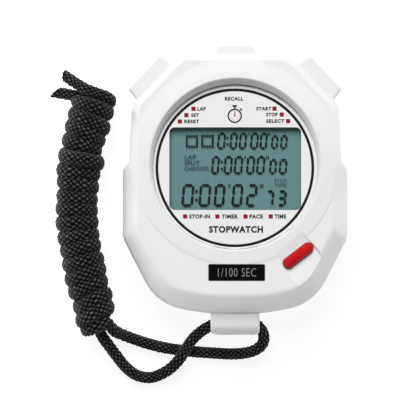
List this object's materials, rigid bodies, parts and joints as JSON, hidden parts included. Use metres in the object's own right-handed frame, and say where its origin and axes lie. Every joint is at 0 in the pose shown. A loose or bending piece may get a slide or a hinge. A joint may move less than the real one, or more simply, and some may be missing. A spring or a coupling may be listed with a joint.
{
  "type": "digital stopwatch",
  "caption": "Hand-held digital sports stopwatch: white moulded case, round window over a digital display, sprung edge buttons, red face button, and a wound neck cord on a moulded bail.",
  "frame": {"origin": "middle of the case in X and Y, on the surface that its back rests on", "axes": "+Z out of the face, +Y towards the top button, +X to the right as the face is read"},
  "size_m": [0.084, 0.0966, 0.0194],
  "materials": {
    "white_abs": "fine satin moulding",
    "rear_abs": "fine satin moulding",
    "button_abs": "satin moulding",
    "bail_abs": "satin moulding",
    "red_abs": "glossy moulding",
    "clear_acrylic": "clear, polished",
    "printed_plate": "screen printed in black and red",
    "black_label": "printed film",
    "lcd_glass": "grey-green reflective display with dark segments",
    "reflector_foil": "satin",
    "frame_abs": "moulded",
    "zebra_rubber": "cut silicone",
    "pcb_laminate": "solder mask",
    "epoxy": "cast epoxy",
    "screw_steel": "nickel plated",
    "crystal_can": "drawn can",
    "smd_ceramic": "fired",
    "battery_steel": "nickel plated",
    "contact_metal": "stamped",
    "buzzer_brass": "rolled sheet",
    "buzzer_ceramic": "silvered",
    "spring_steel": "drawn wire",
    "silicone": "moulded",
    "braid": "tubular polyester braid"
  },
  "bodies": {
    "case": {"front_shell": "white_abs", "rear_shell": "rear_abs", "case_screws": "screw_steel", "lens": "clear_acrylic", "face_plate": "printed_plate", "label_plate": "black_label", "lanyard_bail": "bail_abs", "lcd_panel": "lcd_glass", "lcd_reflector": "reflector_foil", "lcd_frame": "frame_abs", "zebra_strips": "zebra_rubber", "pcb": "pcb_laminate", "pcb_screws": "screw_steel", "chip_coating": "epoxy", "quartz_crystal": "crystal_can", "smd_parts": "smd_ceramic", "battery": "battery_steel", "battery_clip": "contact_metal", "battery_contact": "contact_metal", "buzzer_plate": "buzzer_brass", "buzzer_ceramic": "buzzer_ceramic", "buzzer_springs": "spring_steel", "recall_contact": "contact_metal", "lap_contact": "contact_metal", "start_contact": "contact_metal", "mode_dome": "silicone", "lanyard_strand_left": "braid", "lanyard_strand_right": "braid", "lanyard_hank": "braid", "lanyard_tail_upper": "braid", "lanyard_tail_lower": "braid"},
    "recall_key": {"recall_button": "button_abs"},
    "lap_key": {"lap_button": "button_abs"},
    "start_key": {"start_button": "button_abs"},
    "mode_key": {"mode_button": "red_abs"}
  },
  "joints": [
    {"name": "recall_press", "type": "slide", "parent": "case", "child": "recall_key", "axis": [0, -1, 0], "range_m": [0, 0.0012], "stiffness_N_per_m": 700, "springref_m": -0.0012, "deforming": ["recall_contact"]},
    {"name": "lap_press", "type": "slide", "parent": "case", "child": "lap_key", "axis": [0.7229, -0.6909, 0], "range_m": [0, 0.0012], "stiffness_N_per_m": 700, "springref_m": -0.0012, "deforming": ["lap_contact"]},
    {"name": "start_press", "type": "slide", "parent": "case", "child": "start_key", "axis": [-0.7229, -0.6909, 0], "range_m": [0, 0.0012], "stiffness_N_per_m": 700, "springref_m": -0.0012, "deforming": ["start_contact"]},
    {"name": "mode_press", "type": "slide", "parent": "case", "child": "mode_key", "axis": [0, 0, -1], "range_m": [0, 0.0008], "stiffness_N_per_m": 900, "springref_m": -0.001, "deforming": ["mode_dome"]}
  ]
}
